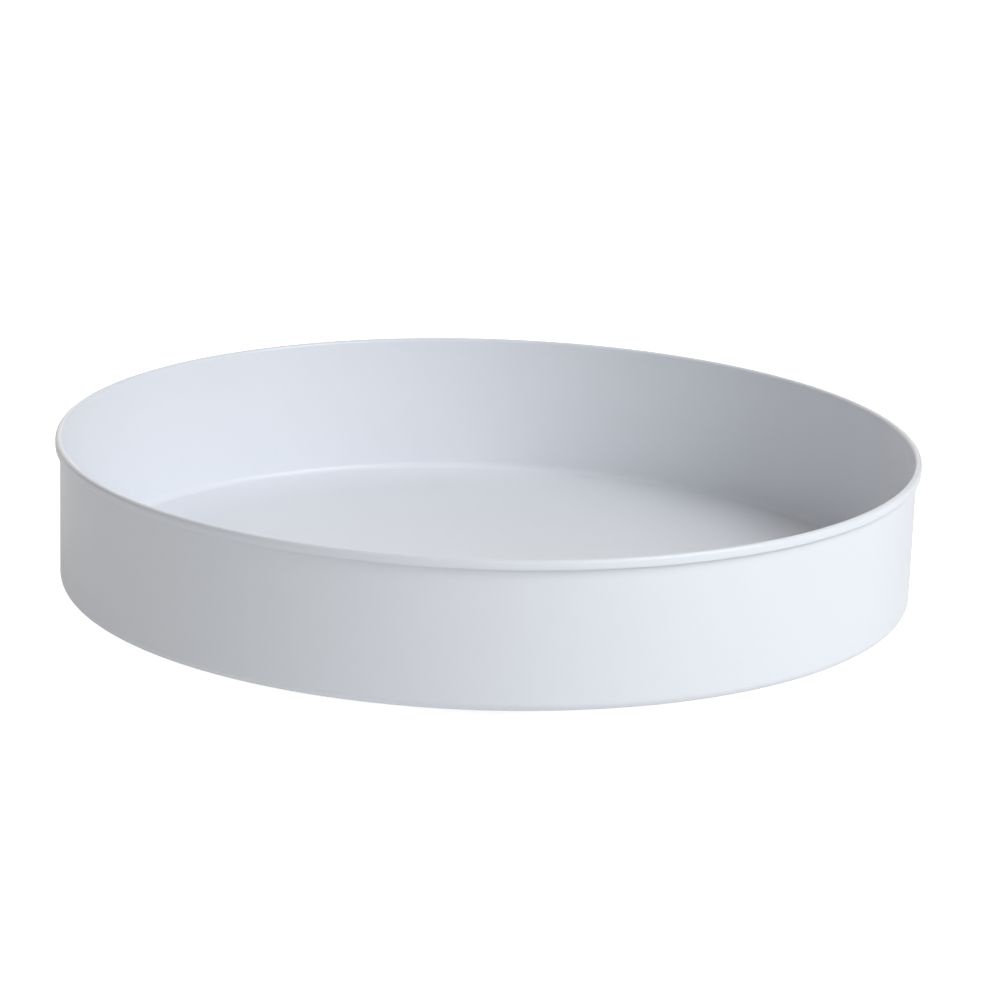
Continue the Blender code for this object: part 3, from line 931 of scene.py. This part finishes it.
def make_race(name, side):
    """A race above the balls, for side 1, or below them, for side -1."""
    groove = BALL_DIAMETER / 2 + BALL_CLEARANCE + RACE_SHEET / 2
    half_width = groove * math.sin(math.radians(GROOVE_HALF_ANGLE))
    shoulder = BALL_HEIGHT + side * groove * math.cos(math.radians(GROOVE_HALF_ANGLE))
    flange = BALL_HEIGHT + side * groove
    start, end = side * (90 + GROOVE_HALF_ANGLE), side * (90 - GROOVE_HALF_ANGLE)
    shoulder_radius = BALL_CIRCLE + half_width + SHOULDER_WIDTH
    outline = [
        (HUB_HOLE, shoulder),
        *arc((BALL_CIRCLE, BALL_HEIGHT), groove, start, end, 9),
        (shoulder_radius, shoulder),
        (shoulder_radius + RACE_STEP, flange),
        (race_high.x, flange),
    ]
    race = turned(name, outline, 192)
    for radius in (BALL_CIRCLE - half_width, BALL_CIRCLE + half_width):
        round_ring(race, radius, shoulder, reach=0.45 * MM, segments=4)
    round_ring(race, shoulder_radius, shoulder, reach=0.5 * MM, segments=4)
    round_ring(race, shoulder_radius + RACE_STEP, flange, reach=0.5 * MM, segments=4)
    thicken(race, RACE_SHEET)
    soften(race, 0.12 * MM)
    return race, flange - RACE_SHEET / 2, flange + RACE_SHEET / 2


upper_race, low, high = make_race("upper_race_finished", 1)
drill_around(upper_race, SCREW_HOLE, low, high, SCREW_CIRCLE, SCREW_START, SCREW_COUNT)
fit(upper_race, race_zinc, "zinc_plate", "tray", "upper_race")
lower_race, low, high = make_race("lower_race_finished", -1)
drill_around(lower_race, RIVET_HOLE, low, high, RIVET_CIRCLE, RIVET_START, RIVET_COUNT)
drill_around(lower_race, DRIVER_HOLE, low, high, SCREW_CIRCLE, SCREW_START, 1)
fit(lower_race, race_zinc, "zinc_plate", "base", "lower_race")

# %% [markdown]
# The cage keeps the balls apart. It is moulded in nylon, a flat ring with soft edges and a pocket for
# each ball. It goes round at half the tray's speed, because the balls roll between a race that turns and
# one that doesn't.

# %% The cage
CAGE_WIDTH = 8.4 * MM
POCKET_RADIUS = 2.7 * MM
BALL_COUNT = sum(name.startswith("ball_") and name[-1].isdigit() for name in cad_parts)


def ring_outline(inner, outer, low, high):
    """A closed rectangle: it ends on its first point."""
    return [(inner, low), (outer, low), (outer, high), (inner, high), (inner, low)]


cage_low, cage_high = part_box("ball_cage")
inner, outer = BALL_CIRCLE - CAGE_WIDTH / 2, BALL_CIRCLE + CAGE_WIDTH / 2
cage = turned("ball_cage_finished", ring_outline(inner, outer, cage_low.z, cage_high.z), 192)
soften(cage, 0.3 * MM, segments=3)
drill_around(cage, POCKET_RADIUS, cage_low.z, cage_high.z, BALL_CIRCLE, 0, BALL_COUNT, 0.25 * MM)
fit(cage, nylon, "nylon", "cage", "ball_cage")

# %% [markdown]
# A ball starts as a cube. Subdividing it and pushing every point out to the same distance gives a sphere
# of even four-sided faces, with none of the crowding that a sphere primitive has at its poles.

# %% The balls
def make_ball(name, node):
    """A ball at the node's place."""
    place = middle_of(node)
    let_go()
    bpy.ops.mesh.primitive_cube_add(size=BALL_DIAMETER)
    ball = bpy.context.object
    ball.name = name
    apply_modifier(
        ball,
        "SUBSURF",
        subdivision_type="SIMPLE",
        levels=4,
        render_levels=4,
    )
    apply_modifier(ball, "CAST", cast_type="SPHERE", factor=1, radius=BALL_DIAMETER / 2)
    move(ball, place)
    return ball


for number in range(1, BALL_COUNT + 1):
    node_name = f"ball_{number:02d}"
    fit(make_ball(node_name + "_finished", node_name), ball_steel, "ball_steel", node_name, node_name)

# %% [markdown]
# A tubular rivet keeps the two races together and is what the tray turns about. It is a tube with its
# head formed outwards at the top and its end rolled outwards at the bottom, so it is drawn as one bent
# line. A nylon spacer between the races' hubs keeps the rivet from pinching the balls, and a washer takes
# the rub of the rolled end.

# %% The pivot
PIVOT_WALL = 1.0 * MM
PIVOT_RADIUS = 5.0 * MM
SLEEVE_RADIUS = 5.3 * MM

rivet_low, rivet_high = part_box("pivot_rivet")
tube_middle = PIVOT_RADIUS - PIVOT_WALL / 2
head_middle = rivet_high.z - PIVOT_WALL / 2
roll_middle = rivet_low.z + PIVOT_WALL / 2
pivot = turned(
    "pivot_rivet_finished",
    [
        (rivet_high.x, head_middle),
        (tube_middle, head_middle),
        (tube_middle, roll_middle),
        (rivet_high.x, roll_middle),
    ],
    FINE_STEPS,
)
round_ring(pivot, tube_middle, head_middle, reach=1.0 * MM, segments=6)
round_ring(pivot, tube_middle, roll_middle, reach=1.0 * MM, segments=6)
thicken(pivot, PIVOT_WALL)
soften(pivot, 0.35 * MM, segments=4)
fit(pivot, rivet_steel, "bright_steel", "base", "pivot_rivet")

spacer_low, spacer_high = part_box("pivot_spacer")
spacer = turned(
    "pivot_spacer_finished",
    ring_outline(SLEEVE_RADIUS, spacer_high.x, spacer_low.z, spacer_high.z),
    FINE_STEPS,
)
soften(spacer, 0.3 * MM, segments=3)
fit(spacer, nylon, "nylon", "base", "pivot_spacer")

washer_low, washer_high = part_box("pivot_washer")
washer = turned(
    "pivot_washer_finished",
    ring_outline(SLEEVE_RADIUS, washer_high.x, washer_low.z, washer_high.z),
    FINE_STEPS,
)
soften(washer, 0.18 * MM)
fit(washer, zinc, "zinc_plate", "base", "pivot_washer")

# %% [markdown]
# ## The base
#
# The base is a shallow dish upside down, pressed from sheet and coated like the tray. Its floor carries
# the lower race, and its skirt hides the rubber feet. One large hole lets a screwdriver through, past the
# lower race, to each of the four screws in turn as the tray is turned over it.

# %% The base shell
BASE_SHEET = 1.2 * MM
BASE_HOLE = 10.5 * MM
BASE_DRAFT = 0.6 * MM
BASE_CORNER = 3.4 * MM

base_low, base_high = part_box("base_shell")
base_middle = base_high.z - BASE_SHEET / 2
skirt_foot = base_high.x - BASE_SHEET / 2
skirt_top = skirt_foot - BASE_DRAFT
base = turned(
    "base_shell_finished",
    [(BASE_HOLE, base_middle), (skirt_top, base_middle), (skirt_foot, base_low.z)],
    ROUND_STEPS,
)
round_ring(base, skirt_top, base_middle, reach=BASE_CORNER, segments=8)
thicken(base, BASE_SHEET)
soften(base, 0.2 * MM)
low, high = base_high.z - BASE_SHEET, base_high.z
drill_around(base, RIVET_HOLE, low, high, RIVET_CIRCLE, RIVET_START, RIVET_COUNT)
drill_around(base, DRIVER_HOLE, low, high, SCREW_CIRCLE, SCREW_START, 1)
fit(base, shaded_under_coat, "powder_coat_under", "base", "base_shell")

# %% [markdown]
# Four rivets hold the lower race to the base. Each has a broad low dome underneath and a smaller formed
# end on top.

# %% The base rivets
RIVET_RADIUS = 2.0 * MM
RIVET_HEAD = 3.8 * MM
RIVET_END = 3.0 * MM
RIVET_HEAD_HEIGHT = 1.3 * MM
RIVET_RIM = 0.3 * MM

rivet_low, rivet_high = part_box("base_rivet_1")
head_face = rivet_low.z + RIVET_HEAD_HEIGHT
end_face = rivet_high.z - RIVET_HEAD_HEIGHT
rise = RIVET_HEAD_HEIGHT - RIVET_RIM
rivet = turned(
    "base_rivet",
    [
        *crown(RIVET_HEAD, head_face - RIVET_RIM, -rise, 10)[::-1],
        (RIVET_HEAD, head_face),
        (RIVET_RADIUS, head_face),
        (RIVET_RADIUS, end_face),
        (RIVET_END, end_face),
        *crown(RIVET_END, end_face + RIVET_RIM, rise, 10),
    ],
    SMALL_STEPS,
)
soften(rivet, 0.12 * MM)
for number, copy in enumerate(around(rivet, RIVET_CIRCLE, RIVET_START, RIVET_COUNT), 1):
    copy.name = f"base_rivet_{number}_finished"
    fit(copy, rivet_steel, "bright_steel", "base", f"base_rivet_{number}")

# %% [markdown]
# The feet are soft rubber, so that the turntable doesn't slide. Two grooves in each sole help it to grip
# and let water out. The sole is drawn from its middle outwards, in and out of the grooves.

# %% The feet
FOOT_RADIUS = 6.0 * MM
SOLE_RADIUS = 5.0 * MM
SOLE_EDGE = 0.6 * MM
GROOVE_DEPTH = 0.5 * MM
GROOVE_WIDTH = 0.7 * MM
GROOVE_RADII = (1.3 * MM, 3.0 * MM)
FOOT_COUNT = 4

foot_low, foot_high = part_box("foot_1")
sole = [(0, foot_low.z)]
for radius in GROOVE_RADII:
    sole += [
        (radius, foot_low.z),
        (radius + 0.1 * MM, foot_low.z + GROOVE_DEPTH),
        (radius + GROOVE_WIDTH, foot_low.z + GROOVE_DEPTH),
        (radius + GROOVE_WIDTH + 0.1 * MM, foot_low.z),
    ]
sole += [(SOLE_RADIUS - SOLE_EDGE, foot_low.z), (SOLE_RADIUS, foot_low.z + SOLE_EDGE)]
foot = turned("foot", [*sole, (FOOT_RADIUS, foot_high.z), (0, foot_high.z)], SMALL_STEPS)
soften(foot, 0.12 * MM, segments=3, angle=30)
for number, copy in enumerate(
    around(foot, radius_to("foot_1"), degrees_to("foot_1"), FOOT_COUNT), 1
):
    copy.name = f"foot_{number}_finished"
    fit(copy, rubber, "rubber", "base", f"foot_{number}")

# %% [markdown]
# ## Light and floor
#
# The tray is lit as for a catalogue. A large soft key light stands high on the right and shades the round
# wall from bright to grey. A second one in front opens the near side, and a larger, warmer one behind
# brightens the inside. The surround adds a little light from everywhere. The lights aren't seen.
#
# The floor is plain and nearly white. It glows, most of all to the camera, because a floor that is only lit
# would come out as grey as the light on it. From below it lets the view through, so that the base can be
# looked at.

# %% Floor
FLOOR_SIZE = 12.0
FLOOR_WHITE = (0.86, 0.86, 0.86, 1)
FLOOR_GLOW = 0.10
FLOOR_GLOW_SEEN = 0.80


def make_floor_material():
    material, tree, shader = new_material("floor", Roughness=0.9)
    shader.inputs["Base Color"].default_value = FLOOR_WHITE
    shader.inputs["Emission Color"].default_value = (1, 1, 1, 1)
    seen = add(tree, "LightPath").outputs["Is Camera Ray"]
    fill(tree, shader.inputs["Emission Strength"], spread(tree, seen, FLOOR_GLOW, FLOOR_GLOW_SEEN))
    behind = add(tree, "NewGeometry").outputs["Backfacing"]
    clear = add(tree, "BsdfTransparent").outputs["BSDF"]
    either = add(tree, "MixShader", Fac=behind)
    tree.links.new(shader.outputs["BSDF"], either.inputs[1])
    tree.links.new(clear, either.inputs[2])
    tree.links.new(either.outputs["Shader"], tree.nodes["Material Output"].inputs["Surface"])
    return material


let_go()
bpy.ops.mesh.primitive_plane_add(size=FLOOR_SIZE)
floor = bpy.context.object
floor.name = "floor"
floor.data.materials.append(make_floor_material())


# %% Light
LIGHT_DISTANCE = 2.0


def soft_light(name, degrees, elevation, size, power, colour):
    """A square area light aimed at the tray. degrees is its direction from the axis, seen from above."""
    light = bpy.data.objects.new(name, bpy.data.lights.new(name, "AREA"))
    bpy.context.scene.collection.objects.link(light)
    light.data.shape = "SQUARE"
    light.data.size = size
    light.data.energy = power
    light.data.color = colour
    light.visible_camera = False
    turn = Euler((0, -math.radians(elevation), math.radians(degrees))).to_matrix()
    outwards = turn @ Vector((LIGHT_DISTANCE, 0, 0))
    light.location = outwards + Vector((0, 0, TRAY_LOW.z))
    light.rotation_euler = (-outwards).to_track_quat("-Z", "Y").to_euler()
    return light


soft_light("key", -28, 42, 1.2, 25.5, (0.95, 0.985, 1.02))
soft_light("front", -68, 22, 1.2, 6.8, (0.95, 0.985, 1.02))
soft_light("back", 108, 32, 2.4, 17.2, (1.04, 0.97, 0.91))
world = bpy.data.worlds.new("surround")
world.use_nodes = True
world.node_tree.nodes["Background"].inputs["Color"].default_value = (1, 1, 1, 1)
world.node_tree.nodes["Background"].inputs["Strength"].default_value = 0.21
bpy.context.scene.world = world
bpy.context.scene.view_settings.view_transform = "Standard"
